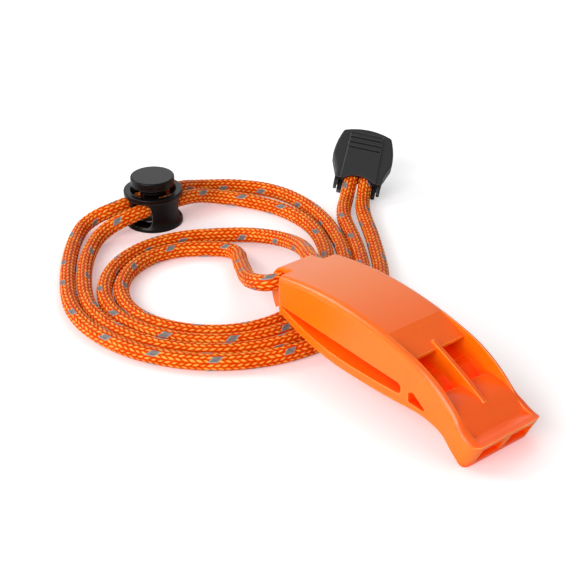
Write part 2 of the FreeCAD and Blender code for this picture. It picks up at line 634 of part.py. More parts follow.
def lock_plunger():
    """Button cap on a stem with a flange under the cords and a post between them."""
    foot, flange_top, head_foot, cap_foot = plunger_heights()
    flange = Part.makeCylinder(FLANGE_DIAMETER / 2, FLANGE_THICKNESS, V(0, 0, foot))
    stem = Part.makeCylinder(STEM_DIAMETER / 2, cap_foot - foot, V(0, 0, foot))
    for hand in (-1, 1):
        low_x, high_x = sorted((hand * POST_WIDTH / 2, hand * STEM_DIAMETER))
        corner = V(low_x, -STEM_DIAMETER, flange_top)
        stem = stem.cut(Part.makeBox(high_x - low_x, 2 * STEM_DIAMETER, head_foot - flange_top, corner))
    cap = Part.makeCylinder(CAP_DIAMETER / 2, CAP_THICKNESS, V(0, 0, cap_foot))
    cap = cap.makeFillet(CAP_ROUND, edges_where(cap, lambda b: b.ZMin > cap_foot + CAP_THICKNESS - touch))
    return in_lock(flange.fuse([stem, cap]).removeSplitter())


def lock_spring():
    """Conical spring between the barrel's floor and the plunger; its coils nest when pressed."""
    low = BARREL_FLOOR + SPRING_WIRE / 2 + SPRING_SEAT_GAP
    high = plunger_heights()[0] - SPRING_WIRE / 2 - SPRING_SEAT_GAP
    height = high - low
    flare = SPRING_FOOT_RADIUS - SPRING_TOP_RADIUS
    slant = math.hypot(height, flare)
    taper = math.degrees(math.atan2(flare, height))
    helix = Part.makeHelix(slant / SPRING_TURNS, slant, SPRING_TOP_RADIUS, taper)
    start = V(SPRING_TOP_RADIUS, 0, 0)
    section = Part.Wire(Part.makeCircle(SPRING_WIRE / 2, start, V(0, 1, 0)))
    spring = Part.Wire(helix).makePipeShell([section], True, True)
    spring.rotate(V(0, 0, 0), V(1, 0, 0), 180)
    spring.translate(V(0, 0, high))
    return in_lock(spring)


def clip_placement():
    """The clip's own X runs across it, Y up from its prong tips and Z out of its front."""
    heading = FreeCAD.Rotation(V(0, 0, 1), CLIP_HEADING - 90)
    lean = FreeCAD.Rotation(V(1, 0, 0), CLIP_LEAN)
    roll = FreeCAD.Rotation(V(0, 1, 0), CLIP_ROLL)
    return FreeCAD.Placement(V(CLIP_X, CLIP_Y, CLIP_Z), heading.multiply(lean).multiply(roll))


def clip_point(across, up, out):
    """Point of the leaning clip: across it, up from its prong tips, out of its front."""
    return clip_placement().multVec(V(across, up, out))


def clip_outline():
    """The clip's face: crowned top, swelling sides and a pinched foot."""
    top = V(0, CLIP_LENGTH, 0)
    shoulder_point = V(CLIP_TOP_WIDTH / 2, CLIP_SHOULDER, 0)
    widest = V(CLIP_WIDEST / 2, CLIP_WIDEST_AT, 0)
    side_middle = (shoulder_point + widest) * 0.5 + V(CLIP_SIDE_SWELL, 0, 0)
    waist = V(CLIP_WAIST_WIDTH / 2, CLIP_WAIST_AT, 0)
    foot = V(CLIP_FOOT_WIDTH / 2, PRONG_LENGTH, 0)
    right = [Part.Arc(shoulder_point, side_middle, widest).toShape(), line(widest, waist), line(waist, foot)]
    left = [edge.mirror(V(0, 0, 0), V(1, 0, 0)) for edge in right]
    other = V(-shoulder_point.x, shoulder_point.y, 0)
    edges = right + left + [Part.Arc(other, top, shoulder_point).toShape()]
    edges.append(line(foot, V(-foot.x, foot.y, 0)))
    return Part.Face(Part.Wire(Part.__sortEdges__(edges)))


def clip_shell(hand, prong, tip):
    """One shell with its prongs; hand 1 is the front shell and -1 the back one."""
    face_z = hand * CLIP_SHELL
    shell = clip_outline().extrude(V(0, 0, face_z))
    uprights = edges_where(shell, lambda b: b.ZLength > CLIP_SHELL - touch and b.YMin > PRONG_LENGTH + touch)
    shell = shell.makeFillet(CLIP_CORNER, uprights)
    rim = edges_where(shell, lambda b: abs(b.ZMin - face_z) < touch and abs(b.ZMax - face_z) < touch
                      and b.YMax > PRONG_LENGTH + touch)
    shell = shell.makeFillet(CLIP_EDGE_ROUND, rim)
    for side_sign in (-1, 1):
        near, far = sorted((side_sign * prong[0], side_sign * prong[1]))
        corner = V(near, tip, min(0, hand * PRONG_DEPTH))
        leg = Part.makeBox(far - near, PRONG_LENGTH + overcut - tip, PRONG_DEPTH, corner)
        rounds = edges_where(leg, lambda b: b.ZLength > PRONG_DEPTH - touch and b.YMax < tip + touch)
        shell = shell.fuse(leg.makeFillet(PRONG_ROUND, rounds))
    return shell.removeSplitter()


def clip_cavity():
    """Room between the shells for the two cord ends."""
    radius = CORD_RADIUS + CLIP_CORD_CLEARANCE
    half = CLIP_CORD_SPACING / 2
    depth = CLIP_CAVITY_END + overcut
    bores = [Part.makeCylinder(radius, depth, V(x, -overcut, 0), V(0, 1, 0)) for x in (-half, half)]
    middle = Part.makeBox(2 * half, depth, 2 * radius, V(-half, -overcut, -radius))
    return bores[0].fuse([bores[1], middle])


def clip_arch(hand):
    """Arched opening over the cords, in the foot of one shell."""
    half = INNER_PRONG[0]
    foot_left = V(-half, PRONG_LENGTH, 0)
    foot_right = V(half, PRONG_LENGTH, 0)
    peak = V(0, PRONG_LENGTH + ARCH_RISE, 0)
    bow = Part.Arc(foot_left, peak, foot_right).toShape()
    face = Part.Face(Part.Wire([bow, line(foot_right, foot_left)]))
    return face.extrude(V(0, 0, hand * (CLIP_SHELL + overcut)))


def clip_panel():
    """Raised panel on the front, a little wider at the foot than at the top."""
    top = CLIP_SHOULDER - PANEL_TOP_MARGIN
    right_foot = V(PANEL_FOOT_WIDTH / 2, PRONG_LENGTH, 0)
    right_top = V(PANEL_TOP_WIDTH / 2, top, 0)
    corners = [V(-right_foot.x, right_foot.y, 0), V(-right_top.x, top, 0), right_top, right_foot]
    panel = Part.Face(Part.makePolygon(corners + corners[:1])).extrude(V(0, 0, CLIP_SHELL + PANEL_RISE))
    rim = edges_where(panel, lambda b: b.ZMin > CLIP_SHELL and b.YMax > PRONG_LENGTH + touch)
    return panel.makeChamfer(PANEL_CHAMFER, rim)


def clip_front_shell():
    """Front shell, with the finger grooves cut in its panel."""
    shell = clip_shell(1, OUTER_PRONG, OUTER_PRONG_SHORTER).fuse(clip_panel()).removeSplitter()
    cuts = [clip_cavity(), clip_arch(1)]
    for step in range(GROOVES):
        middle = CLIP_LENGTH - FIRST_GROOVE_FROM_TOP - step * GROOVE_PITCH
        corner = V(-GROOVE_LENGTH / 2, middle - GROOVE_WIDTH / 2, CLIP_SHELL + PANEL_RISE - GROOVE_DEPTH)
        cuts.append(Part.makeBox(GROOVE_LENGTH, GROOVE_WIDTH, GROOVE_DEPTH + overcut, corner))
    shell = shell.cut(cuts)
    shell.Placement = clip_placement()
    return shell


def clip_back_shell():
    shell = clip_shell(-1, INNER_PRONG, 0).cut([clip_cavity(), clip_arch(-1)])
    shell.Placement = clip_placement()
    return shell


def main():
    os.makedirs("parts", exist_ok=True)
    lock_makers = [lock_barrel, lock_plunger, lock_spring]
    clip_makers = [clip_front_shell, clip_back_shell]
    for make in [whistle_body, lanyard_cord] + lock_makers + clip_makers:
        solid = make()
        box = solid.optimalBoundingBox()
        extents = (box.XMin, box.XMax, box.YMin, box.YMax, box.ZMin, box.ZMax)
        print(make.__name__, solid.isValid(), len(solid.Solids), "%.0f mm3" % solid.Volume)
        print("    from and to in x, y and z:", " ".join("%.2f" % extent for extent in extents))
        solid.exportStep("parts/%s.step" % make.__name__)


if __name__ == "__main__":
    main()
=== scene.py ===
# %% [markdown]
# # A survival whistle on its lanyard
# The object is a flat orange whistle, moulded in one piece, with a braided neck cord through
# its lug, a sprung cord lock on the cord and a two-part clip over the cord's ends. The hard
# pieces come from the CAD model and are not moved. This file gives every surface its finish,
# makes the braided cord, and sets up the light and the camera.

# %% Load the model
import math

import bpy
import numpy as np
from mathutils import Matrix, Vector


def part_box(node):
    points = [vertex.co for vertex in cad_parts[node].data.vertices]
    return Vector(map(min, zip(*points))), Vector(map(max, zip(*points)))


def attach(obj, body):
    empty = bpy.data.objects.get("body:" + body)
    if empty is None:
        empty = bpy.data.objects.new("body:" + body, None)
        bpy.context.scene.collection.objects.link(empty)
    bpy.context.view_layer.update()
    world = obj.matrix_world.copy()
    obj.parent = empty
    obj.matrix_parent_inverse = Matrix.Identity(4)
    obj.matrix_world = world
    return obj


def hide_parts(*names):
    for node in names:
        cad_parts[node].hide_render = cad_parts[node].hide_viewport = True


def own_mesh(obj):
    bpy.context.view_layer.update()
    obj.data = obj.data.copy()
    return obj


MM = 0.001
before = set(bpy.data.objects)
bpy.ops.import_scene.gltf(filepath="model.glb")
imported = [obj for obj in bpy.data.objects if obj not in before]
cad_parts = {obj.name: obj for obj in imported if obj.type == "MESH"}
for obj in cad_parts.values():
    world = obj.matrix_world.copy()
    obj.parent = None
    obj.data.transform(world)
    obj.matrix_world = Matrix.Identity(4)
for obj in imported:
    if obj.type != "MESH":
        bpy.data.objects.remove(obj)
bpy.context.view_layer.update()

# %% [markdown]
# ## Three small helpers
# Colours are written as the sRGB hex values that a picture editor shows, and the shaders need
# linear light, so one function turns them over. The second adds a shader node, sets its
# options and joins its inputs in one go. The third starts a material for a hard or woven
# piece, with its shader already joined to the output.


# %% Colours, shader nodes and materials
def linear(hex_colour):
    """sRGB hex text, such as "#FF8040", as a linear colour with full alpha."""
    parts = [int(hex_colour[at:at + 2], 16) / 255 for at in (1, 3, 5)]
    return tuple(c / 12.92 if c <= 0.04045 else ((c + 0.055) / 1.055) ** 2.4 for c in parts) + (1.0,)


def add_node(tree, kind, inputs=None, **options):
    """Adds a node; each input is a plain value or the output socket that feeds it."""
    made = tree.nodes.new(kind)
    for option, value in options.items():
        setattr(made, option, value)
    for socket, value in (inputs or {}).items():
        if isinstance(value, bpy.types.NodeSocket):
            tree.links.new(value, made.inputs[socket])
        else:
            made.inputs[socket].default_value = value
    return made


def new_material(name):
    """An empty node material, with its shader already joined to the output."""
    material = bpy.data.materials.new(name)
    material.use_nodes = True
    tree = material.node_tree
    tree.nodes.clear()
    shader = add_node(tree, "ShaderNodeBsdfPrincipled")
    add_node(tree, "ShaderNodeOutputMaterial", {"Surface": shader.outputs["BSDF"]})
    return material, tree, shader


# %% [markdown]
# ## Camera
# The whistle was photographed from about 30 degrees above the table with a long lens. The
# camera stands at the place that was worked out from the round cord lock and the straight
# sides of the whistle, and looks at a point on the table near the middle of the picture.

# %% Camera
CAMERA_PLACE = Vector((203.6, -196.36, 189.19)) * MM
CAMERA_AIM = Vector((-51.06, 9.86, 0)) * MM
# The lens and the width of the sensor are in millimetres, as on a real camera.
LENS = 87.5
SENSOR = 36

camera_data = bpy.data.cameras.new("camera")
camera_data.lens = LENS
camera_data.sensor_width = SENSOR
camera_data.clip_start = 10 * MM
camera = bpy.data.objects.new("camera", camera_data)
bpy.context.scene.collection.objects.link(camera)
camera.location = CAMERA_PLACE
camera.rotation_euler = (CAMERA_AIM - CAMERA_PLACE).to_track_quat("-Z", "Y").to_euler()
bpy.context.scene.camera = camera
bpy.context.scene.view_settings.view_transform = "Standard"

# %% [markdown]
# ## Light, floor and background
# It is a bright product picture on white. A white world gives an even light from all round.
# The strongest soft box stands low in front on the left and lights the whistle's side. A smaller
# one on the left draws the pale line along the rounded edges, which painted highlights strengthen,
# and a wide panel behind gives the tops of the whistle and of the lock their grey-white sheen.
# The floor is white paper. The camera sees it a little brighter than the lamps make it, and so
# it runs out to plain white while the soft shadows stay. Close to the orange pieces a painted
# pink shade tints and darkens the paper, in place of light bounced off the orange plastic, but
# not beside the black clip.

# %% World
PAPER_WHITE = linear("#FFFFFF")
SKY_LIGHT = 0.39

world = bpy.data.worlds.new("white_studio")
world.use_nodes = True
sky = world.node_tree
sky.nodes.clear()
rays = add_node(sky, "ShaderNodeLightPath")
lit = add_node(sky, "ShaderNodeBackground", {"Color": PAPER_WHITE, "Strength": SKY_LIGHT})
seen = add_node(sky, "ShaderNodeBackground", {"Color": PAPER_WHITE, "Strength": 1.0})
looked_at = add_node(sky, "ShaderNodeMath", {0: rays.outputs["Is Camera Ray"],
                                             1: rays.outputs["Is Transmission Ray"]}, operation="MAXIMUM")
backdrop = add_node(sky, "ShaderNodeMixShader",
                    {0: looked_at.outputs[0], 1: lit.outputs[0], 2: seen.outputs[0]})
add_node(sky, "ShaderNodeOutputWorld", {"Surface": backdrop.outputs[0]})
bpy.context.scene.world = world

# %% Soft boxes
AIM = Vector((-40, 0, 8)) * MM
PHOTO_RIGHT = Vector((0.629, 0.777, 0))
PHOTO_BACK = Vector((-0.777, 0.629, 0))
# Metres to the right of the aim, behind it and above it, then the box's side and its watts.
SOFT_BOXES = {
    "front_box": (-0.55, -0.80, 0.50, 0.8, 10.0),
    "left_box": (-0.80, 0.23, 0.55, 0.4, 2.9),
    "back_panel": (0.10, 1.10, 0.42, 0.9, 2.1),
}

for name, (right, back, up, size, watts) in SOFT_BOXES.items():
    lamp_data = bpy.data.lights.new(name, "AREA")
    lamp_data.size = size
    lamp_data.energy = watts
    lamp = bpy.data.objects.new(name, lamp_data)
    bpy.context.scene.collection.objects.link(lamp)
    lamp.location = AIM + PHOTO_RIGHT * right + PHOTO_BACK * back + Vector((0, 0, up))
    lamp.rotation_euler = (AIM - lamp.location).to_track_quat("-Z", "Y").to_euler()

# %% Floor
FLOOR_SIZE = 6.0
FLOOR_DROP = 0.05 * MM
FLOOR_GLOW = 0.40
PAPER_GREY = linear("#F6F5F5")
# The pink below is painted shade: near the orange pieces it stands in for light bounced off the orange
# plastic. The two shares of open sky set where it starts and where it is full.
PINK_REACH = 20 * MM
PAINTED_PINK_SHADE = linear("#EFD9D9")
PINK_FROM_SKY = 0.97    # share of open sky under which the tinge starts
PINK_FULL_SKY = 0.6     # and at which it is full
PINK_FULL_Y = 27 * MM
PINK_END_Y = 42 * MM

bpy.ops.mesh.primitive_plane_add(size=FLOOR_SIZE, location=(0, 0, -FLOOR_DROP))
floor = bpy.context.active_object
floor.name = "floor"
paper = bpy.data.materials.new("white_paper")
paper.use_nodes = True
tree = paper.node_tree
tree.nodes.clear()
rays = add_node(tree, "ShaderNodeLightPath")
open_sky = add_node(tree, "ShaderNodeAmbientOcclusion", {"Distance": PINK_REACH}, samples=16)
near = add_node(tree, "ShaderNodeMapRange", {"Value": open_sky.outputs["AO"], "From Min": PINK_FULL_SKY,
                                             "From Max": PINK_FROM_SKY, "To Min": 1, "To Max": 0})
where = add_node(tree, "ShaderNodeTexCoord")
spot = add_node(tree, "ShaderNodeSeparateXYZ", {0: where.outputs["Object"]})
before_clip = add_node(tree, "ShaderNodeMapRange", {"Value": spot.outputs[1], "From Min": PINK_END_Y,
                                                    "From Max": PINK_FULL_Y})
# Painted pink shade: how much of it goes on the paper, near the orange pieces and not by the clip.
painted_pink_share = add_node(tree, "ShaderNodeMath", {0: near.outputs[0], 1: before_clip.outputs[0]},
                    operation="MULTIPLY")
painted_pink_tint = add_node(tree, "ShaderNodeMixRGB", {0: painted_pink_share.outputs[0], 1: PAPER_GREY, 2: PAINTED_PINK_SHADE})
sheet = add_node(tree, "ShaderNodeBsdfDiffuse", {"Color": painted_pink_tint.outputs[0]})
glow = add_node(tree, "ShaderNodeMath", {0: rays.outputs["Is Camera Ray"], 1: FLOOR_GLOW},
                operation="MULTIPLY")
lift = add_node(tree, "ShaderNodeEmission", {"Color": painted_pink_tint.outputs[0], "Strength": glow.outputs[0]})
both = add_node(tree, "ShaderNodeAddShader", {0: sheet.outputs[0], 1: lift.outputs[0]})
add_node(tree, "ShaderNodeOutputMaterial", {"Surface": both.outputs[0]})
floor.data.materials.append(paper)

# %% [markdown]
# ## The cord's route
# One braided cord, 4.2 mm thick, starts in the clip, winds in two turns round the left of the
# picture, passes through the lock and the whistle's lug, and comes back beside itself. Its
# route is a short list of given points. A NURBS spline of order 3 draws one smooth
# line through their middles, and it keeps off the points themselves, as a soft cord does.

# %% Route
CORD_DIAMETER = 4.2 * MM
ROUTE = [
    (-0.08551, 0.06401, 0.00962), (-0.08037, 0.05667, 0.00210), (-0.07160, 0.04680, 0.00210),
    (-0.06060, 0.04110, 0.00210), (-0.04960, 0.03460, 0.00210), (-0.03900, 0.02680, 0.00210),
    (-0.03140, 0.01580, 0.00210), (-0.02740, 0.00340, 0.00210), (-0.02700, -0.00740, 0.00210),
    (-0.02960, -0.01760, 0.00210), (-0.03520, -0.02700, 0.00210), (-0.04310, -0.03430, 0.00210),
    (-0.05290, -0.03910, 0.00210), (-0.06400, -0.04080, 0.00210), (-0.07500, -0.03880, 0.00210),
    (-0.08540, -0.03320, 0.00210), (-0.09580, -0.02600, 0.00210), (-0.10540, -0.01560, 0.00270),
    (-0.10360, -0.00590, 0.00630), (-0.10360, 0.01490, 0.00630), (-0.10420, 0.02460, 0.00270),
    (-0.09600, 0.03160, 0.00210), (-0.08540, 0.03580, 0.00210), (-0.07380, 0.03600, 0.00210),
    (-0.06300, 0.03220, 0.00210), (-0.05320, 0.02600, 0.00210), (-0.04490, 0.01760, 0.00210),
    (-0.03890, 0.00700, 0.00210), (-0.03620, -0.00400, 0.00210), (-0.03780, -0.01460, 0.00210),
    (-0.04380, -0.02380, 0.00210), (-0.05290, -0.03010, 0.00210), (-0.06340, -0.03220, 0.00210),
    (-0.07360, -0.02940, 0.00210), (-0.08140, -0.02260, 0.00210), (-0.08580, -0.01300, 0.00210),
    (-0.08470, -0.00320, 0.00210), (-0.08020, 0.00320, 0.00210), (-0.07560, 0.00840, 0.00210),
    (-0.07040, 0.00820, 0.00250), (-0.06520, 0.00440, 0.00390), (-0.05780, 0.00000, 0.00630),
    (-0.05000, -0.00500, 0.00930), (-0.04250, -0.00890, 0.01250), (-0.03485, -0.00800, 0.01495),
    (-0.03485, 0.00800, 0.01435), (-0.04240, 0.01040, 0.01250), (-0.05080, 0.01560, 0.01010),
    (-0.06000, 0.01920, 0.00710), (-0.06960, 0.02040, 0.00430), (-0.07840, 0.01780, 0.00250),
    (-0.08440, 0.01080, 0.00210), (-0.08920, 0.00280, 0.00210), (-0.09150, -0.00680, 0.00210),
    (-0.08980, -0.01720, 0.00210), (-0.08400, -0.02660, 0.00210), (-0.07520, -0.03360, 0.00210),
    (-0.06400, -0.03660, 0.00210), (-0.05290, -0.03460, 0.00210), (-0.04330, -0.02920, 0.00210),
    (-0.03610, -0.02080, 0.00210), (-0.03220, -0.01080, 0.00210), (-0.03190, 0.00050, 0.00210),
    (-0.03510, 0.01200, 0.00210), (-0.04140, 0.02180, 0.00210), (-0.05040, 0.03020, 0.00210),
    (-0.06100, 0.03640, 0.00210), (-0.07260, 0.04100, 0.00210), (-0.08480, 0.04320, 0.00210),
    (-0.09660, 0.04180, 0.00210), (-0.10640, 0.03520, 0.00210), (-0.11220, 0.02520, 0.00270),
    (-0.11040, 0.01490, 0.00630), (-0.11040, -0.00590, 0.00630), (-0.11380, -0.01460, 0.00290),
    (-0.10740, -0.02250, 0.00210), (-0.09810, -0.03000, 0.00210), (-0.08750, -0.03710, 0.00210),
    (-0.07620, -0.04300, 0.00210), (-0.06400, -0.04510, 0.00210), (-0.05200, -0.04330, 0.00210),
    (-0.04150, -0.03860, 0.00210), (-0.03260, -0.03130, 0.00210), (-0.02610, -0.02210, 0.00210),
    (-0.02230, -0.01140, 0.00210), (-0.02150, -0.00030, 0.00210), (-0.02380, 0.01120, 0.00210),
    (-0.02880, 0.02190, 0.00210), (-0.03640, 0.03100, 0.00210), (-0.04800, 0.03940, 0.00210),
    (-0.05860, 0.04640, 0.00210), (-0.06900, 0.05260, 0.00210), (-0.07766, 0.06031, 0.00210),
    (-0.08232, 0.06696, 0.00892)]
POINTS_PER_SPAN = 24

route_data = bpy.data.curves.new("cord_route", "CURVE")
route_data.dimensions = "3D"
route_data.resolution_u = POINTS_PER_SPAN
spline = route_data.splines.new("NURBS")
spline.points.add(len(ROUTE) - 1)
for point, place in zip(spline.points, ROUTE):
    point.co = (*place, 1)
spline.order_u = 3
spline.use_endpoint_u = True
route = bpy.data.objects.new("cord_route", route_data)
bpy.context.scene.collection.objects.link(route)
bpy.context.view_layer.update()
route_mesh = bpy.data.meshes.new_from_object(route)
route_line = np.array([tuple(v.co) for v in route_mesh.vertices])
bpy.data.objects.remove(route)
runs = np.linalg.norm(np.diff(route_line, axis=0), axis=1)
cord_length = runs.sum()
print("cord length in mm: %.1f" % (cord_length / MM))

# %% [markdown]
# ## The braid
# The cord is a round braid of polyester bundles. Its surface shows twelve lengthwise columns
# of short stitches, which slant one way and the other in turn, and so it looks plaited. The
# stitches are real bumps on a tube that follows the route: each point of the tube is pushed
# out by how near it is to the middle of its stitch. The tube has three points across each
# stitch and four along it, so that every stitch comes out alike. Bundles of grey reflective
# yarn go round with the rest, and each comes up as a slanted fleck about every 15 mm.

# %% Braid as a height over the cord
COLUMNS = 12
STITCH_LENGTH = 1.72 * MM
STITCH_SLANT = 0.7
STITCH_HEIGHT = 0.36 * MM
ROUND_STEPS = 3 * COLUMNS
ALONG_STEP = STITCH_LENGTH / 4
CORE_INSET = 0.26 * MM
CORE_RADIUS = CORD_DIAMETER / 2 - CORE_INSET


def stitch_height(turn, along):
    """How far the braid stands out, from 0 in its valleys to 1, at a turn of 0 to 1 round the cord."""
    column = turn * COLUMNS
    odd = np.floor(column) % 2
    across = column - np.floor(column) - 0.5
    phase = along / STITCH_LENGTH + odd / 2 + (2 * odd - 1) * across * STITCH_SLANT
    lengthwise = phase - np.floor(phase) - 0.5
    return np.sqrt(np.maximum(0, (1 - 4 * across ** 2) * (1 - 4 * lengthwise ** 2)))


def evenly_spaced(line, step):
    """The same line with points at even steps, and how far along each one is."""
    gone = np.concatenate([[0], np.cumsum(np.linalg.norm(np.diff(line, axis=0), axis=1))])
    along = np.arange(0, gone[-1], step)
    return np.column_stack([np.interp(along, gone, line[:, axis]) for axis in range(3)]), along


def sides_along(line):
    """Two directions square to the line at each point, carried along it without twisting."""
    heading = np.gradient(line, axis=0)
    heading /= np.linalg.norm(heading, axis=1)[:, None]
    side = np.cross(heading[0], (0, 0, 1))
    sides = []
    for direction in heading:
        side = side - direction * side.dot(direction)
        side = side / np.linalg.norm(side)
        sides.append(side)
    sides = np.array(sides)
    return sides, np.cross(heading, sides)


# %% Cord mesh
line, along = evenly_spaced(route_line, ALONG_STEP)
side, up = sides_along(line)
turns = np.arange(ROUND_STEPS) / ROUND_STEPS
angle = 2 * math.pi * turns
radius = CORE_RADIUS + STITCH_HEIGHT * stitch_height(turns[None, :], along[:, None])
radius[[0, -1]] = CORE_RADIUS
spokes = np.cos(angle)[None, :, None] * side[:, None, :] + np.sin(angle)[None, :, None] * up[:, None, :]
rings = line[:, None, :] + radius[:, :, None] * spokes
rings[:, :, 2] = np.maximum(rings[:, :, 2], 0)

ring_count = len(line)
quads = []
uvs = []
for ring in range(ring_count - 1):
    for step in range(ROUND_STEPS):
        after = (step + 1) % ROUND_STEPS
        quads.append((ring * ROUND_STEPS + step, ring * ROUND_STEPS + after,
                      (ring + 1) * ROUND_STEPS + after, (ring + 1) * ROUND_STEPS + step))
        uvs += [(turns[step], along[ring]), (turns[step] + 1 / ROUND_STEPS, along[ring]),
                (turns[step] + 1 / ROUND_STEPS, along[ring + 1]), (turns[step], along[ring + 1])]
last = (ring_count - 1) * ROUND_STEPS
caps = [tuple(range(ROUND_STEPS))[::-1], tuple(range(last, last + ROUND_STEPS))]
uvs += [(0.5, 0)] * (2 * ROUND_STEPS)

cord_mesh = bpy.data.meshes.new("braided_cord")
cord_mesh.from_pydata([tuple(p) for p in rings.reshape(-1, 3)], [], quads + caps)
cord_uv = cord_mesh.uv_layers.new(name="braid")
cord_uv.data.foreach_set("uv", np.array(uvs, np.float32).ravel())
cord_mesh.polygons.foreach_set("use_smooth", [True] * len(cord_mesh.polygons))
cord_mesh.update()
cord = bpy.data.objects.new("braided_cord", cord_mesh)
bpy.context.scene.collection.objects.link(cord)
print("cord triangles:", 2 * len(quads))

# %% [markdown]
# ## Polyester braid
# The yarn is bright orange polyester. It shines softly along the crown of each stitch, where a
# painted pale highlight is added, and the valleys between stitches get a painted deep red shade,
# which stands in for light that bounces from orange to orange in there. The pattern uses the
# same sums as the bumps, on the tube's own UV map: U goes once round the cord, and V is the
# distance along it in metres.

# %% Cord material
# The ramp's darkest and palest colours are painted light: red shade in the braid's valleys and a pale
# highlight on its crowns.
YARN_PAINTED_VALLEY_SHADE = linear("#C42400")
YARN_ORANGE = linear("#DC3E00")
YARN_LIGHT = linear("#F06604")
YARN_PAINTED_CROWN_HIGHLIGHT = linear("#FFB04C")
YARN_SHINE = linear("#FFAE60")

cord_material, tree, shader = new_material("braided_polyester")
uv = add_node(tree, "ShaderNodeUVMap", uv_map="braid")
place = add_node(tree, "ShaderNodeSeparateXYZ", {0: uv.outputs[0]})
column = add_node(tree, "ShaderNodeMath", {0: place.outputs[0], 1: COLUMNS}, operation="MULTIPLY")
index = add_node(tree, "ShaderNodeMath", {0: column.outputs[0]}, operation="FLOOR")
odd = add_node(tree, "ShaderNodeMath", {0: index.outputs[0], 1: 2}, operation="MODULO")
part = add_node(tree, "ShaderNodeMath", {0: column.outputs[0]}, operation="FRACT")
across = add_node(tree, "ShaderNodeMath", {0: part.outputs[0], 1: 0.5}, operation="SUBTRACT")
sign = add_node(tree, "ShaderNodeMath", {0: odd.outputs[0], 1: 2, 2: -1}, operation="MULTIPLY_ADD")
signed = add_node(tree, "ShaderNodeMath", {0: across.outputs[0], 1: sign.outputs[0]}, operation="MULTIPLY")
lean = add_node(tree, "ShaderNodeMath", {0: signed.outputs[0], 1: STITCH_SLANT}, operation="MULTIPLY")
shifted = add_node(tree, "ShaderNodeMath", {0: odd.outputs[0], 1: 0.5, 2: lean.outputs[0]},
                   operation="MULTIPLY_ADD")
phase = add_node(tree, "ShaderNodeMath", {0: place.outputs[1], 1: 1 / STITCH_LENGTH, 2: shifted.outputs[0]},
                 operation="MULTIPLY_ADD")
stitch = add_node(tree, "ShaderNodeMath", {0: phase.outputs[0]}, operation="FLOOR")
rest = add_node(tree, "ShaderNodeMath", {0: phase.outputs[0]}, operation="FRACT")
lengthwise = add_node(tree, "ShaderNodeMath", {0: rest.outputs[0], 1: 0.5}, operation="SUBTRACT")
across_two = add_node(tree, "ShaderNodeMath", {0: across.outputs[0], 1: 2}, operation="MULTIPLY")
across_square = add_node(tree, "ShaderNodeMath", {0: across_two.outputs[0], 1: 2}, operation="POWER")
length_two = add_node(tree, "ShaderNodeMath", {0: lengthwise.outputs[0], 1: 2}, operation="MULTIPLY")
length_square = add_node(tree, "ShaderNodeMath", {0: length_two.outputs[0], 1: 2}, operation="POWER")
crown_across = add_node(tree, "ShaderNodeMath", {0: 1, 1: across_square.outputs[0]}, operation="SUBTRACT")
crown_along = add_node(tree, "ShaderNodeMath", {0: 1, 1: length_square.outputs[0]}, operation="SUBTRACT")
crown = add_node(tree, "ShaderNodeMath", {0: crown_across.outputs[0], 1: crown_along.outputs[0]},
                 operation="MULTIPLY")

# %% [markdown]
# The reflective flecks lie in three rows round the cord. Each row is cut into cells as long
# as the distance between two flecks, and a cell holds one slanted four-sided fleck, shifted a
# little by a random number that belongs to the cell. The rim of each fleck is drawn paler, as a
# painted glint.

# %% Reflective flecks
FLECK_ROWS = 3
FLECK_PERIOD = 15.0 * MM
FLECK_LENGTH = 2.5 * MM
FLECK_WIDTH = 1.7 * MM
FLECK_SLANT = 0.8
FLECK_SHIFT = 0.35
# Shares of the way from a fleck's middle to its outline.
FLECK_BLUR = 0.08
RIM_START = 0.65
RIM_FULL = 0.95
ROW_WIDTH = math.pi * CORD_DIAMETER / FLECK_ROWS
REFLECTIVE_GREY = linear("#7C7C7A")
# The paler rim colour is a painted glint on the reflective yarn.
REFLECTIVE_PAINTED_GLINT = linear("#A8A6A2")

row_place = add_node(tree, "ShaderNodeMath", {0: place.outputs[0], 1: FLECK_ROWS}, operation="MULTIPLY")
row = add_node(tree, "ShaderNodeMath", {0: row_place.outputs[0]}, operation="FLOOR")
row_part = add_node(tree, "ShaderNodeMath", {0: row_place.outputs[0]}, operation="FRACT")
row_across = add_node(tree, "ShaderNodeMath", {0: row_part.outputs[0], 1: ROW_WIDTH, 2: -ROW_WIDTH / 2},
                      operation="MULTIPLY_ADD")
row_start = add_node(tree, "ShaderNodeMath", {0: row.outputs[0], 1: 1 / FLECK_ROWS}, operation="MULTIPLY")
cell_place = add_node(tree, "ShaderNodeMath",
                      {0: place.outputs[1], 1: 1 / FLECK_PERIOD, 2: row_start.outputs[0]},
                      operation="MULTIPLY_ADD")
cell = add_node(tree, "ShaderNodeMath", {0: cell_place.outputs[0]}, operation="FLOOR")
cell_part = add_node(tree, "ShaderNodeMath", {0: cell_place.outputs[0]}, operation="FRACT")
cell_name = add_node(tree, "ShaderNodeCombineXYZ", {0: row.outputs[0], 1: cell.outputs[0]})
cell_chance = add_node(tree, "ShaderNodeTexWhiteNoise", {"Vector": cell_name.outputs[0]})
shift = add_node(tree, "ShaderNodeMath", {0: cell_chance.outputs["Value"], 1: FLECK_SHIFT,
                                          2: -0.5 - FLECK_SHIFT / 2}, operation="MULTIPLY_ADD")
from_middle = add_node(tree, "ShaderNodeMath", {0: cell_part.outputs[0], 1: shift.outputs[0]},
                       operation="ADD")
slope = add_node(tree, "ShaderNodeMath", {0: row_across.outputs[0], 1: FLECK_SLANT}, operation="MULTIPLY")
slanted = add_node(tree, "ShaderNodeMath", {0: from_middle.outputs[0], 1: FLECK_PERIOD, 2: slope.outputs[0]},
                   operation="MULTIPLY_ADD")
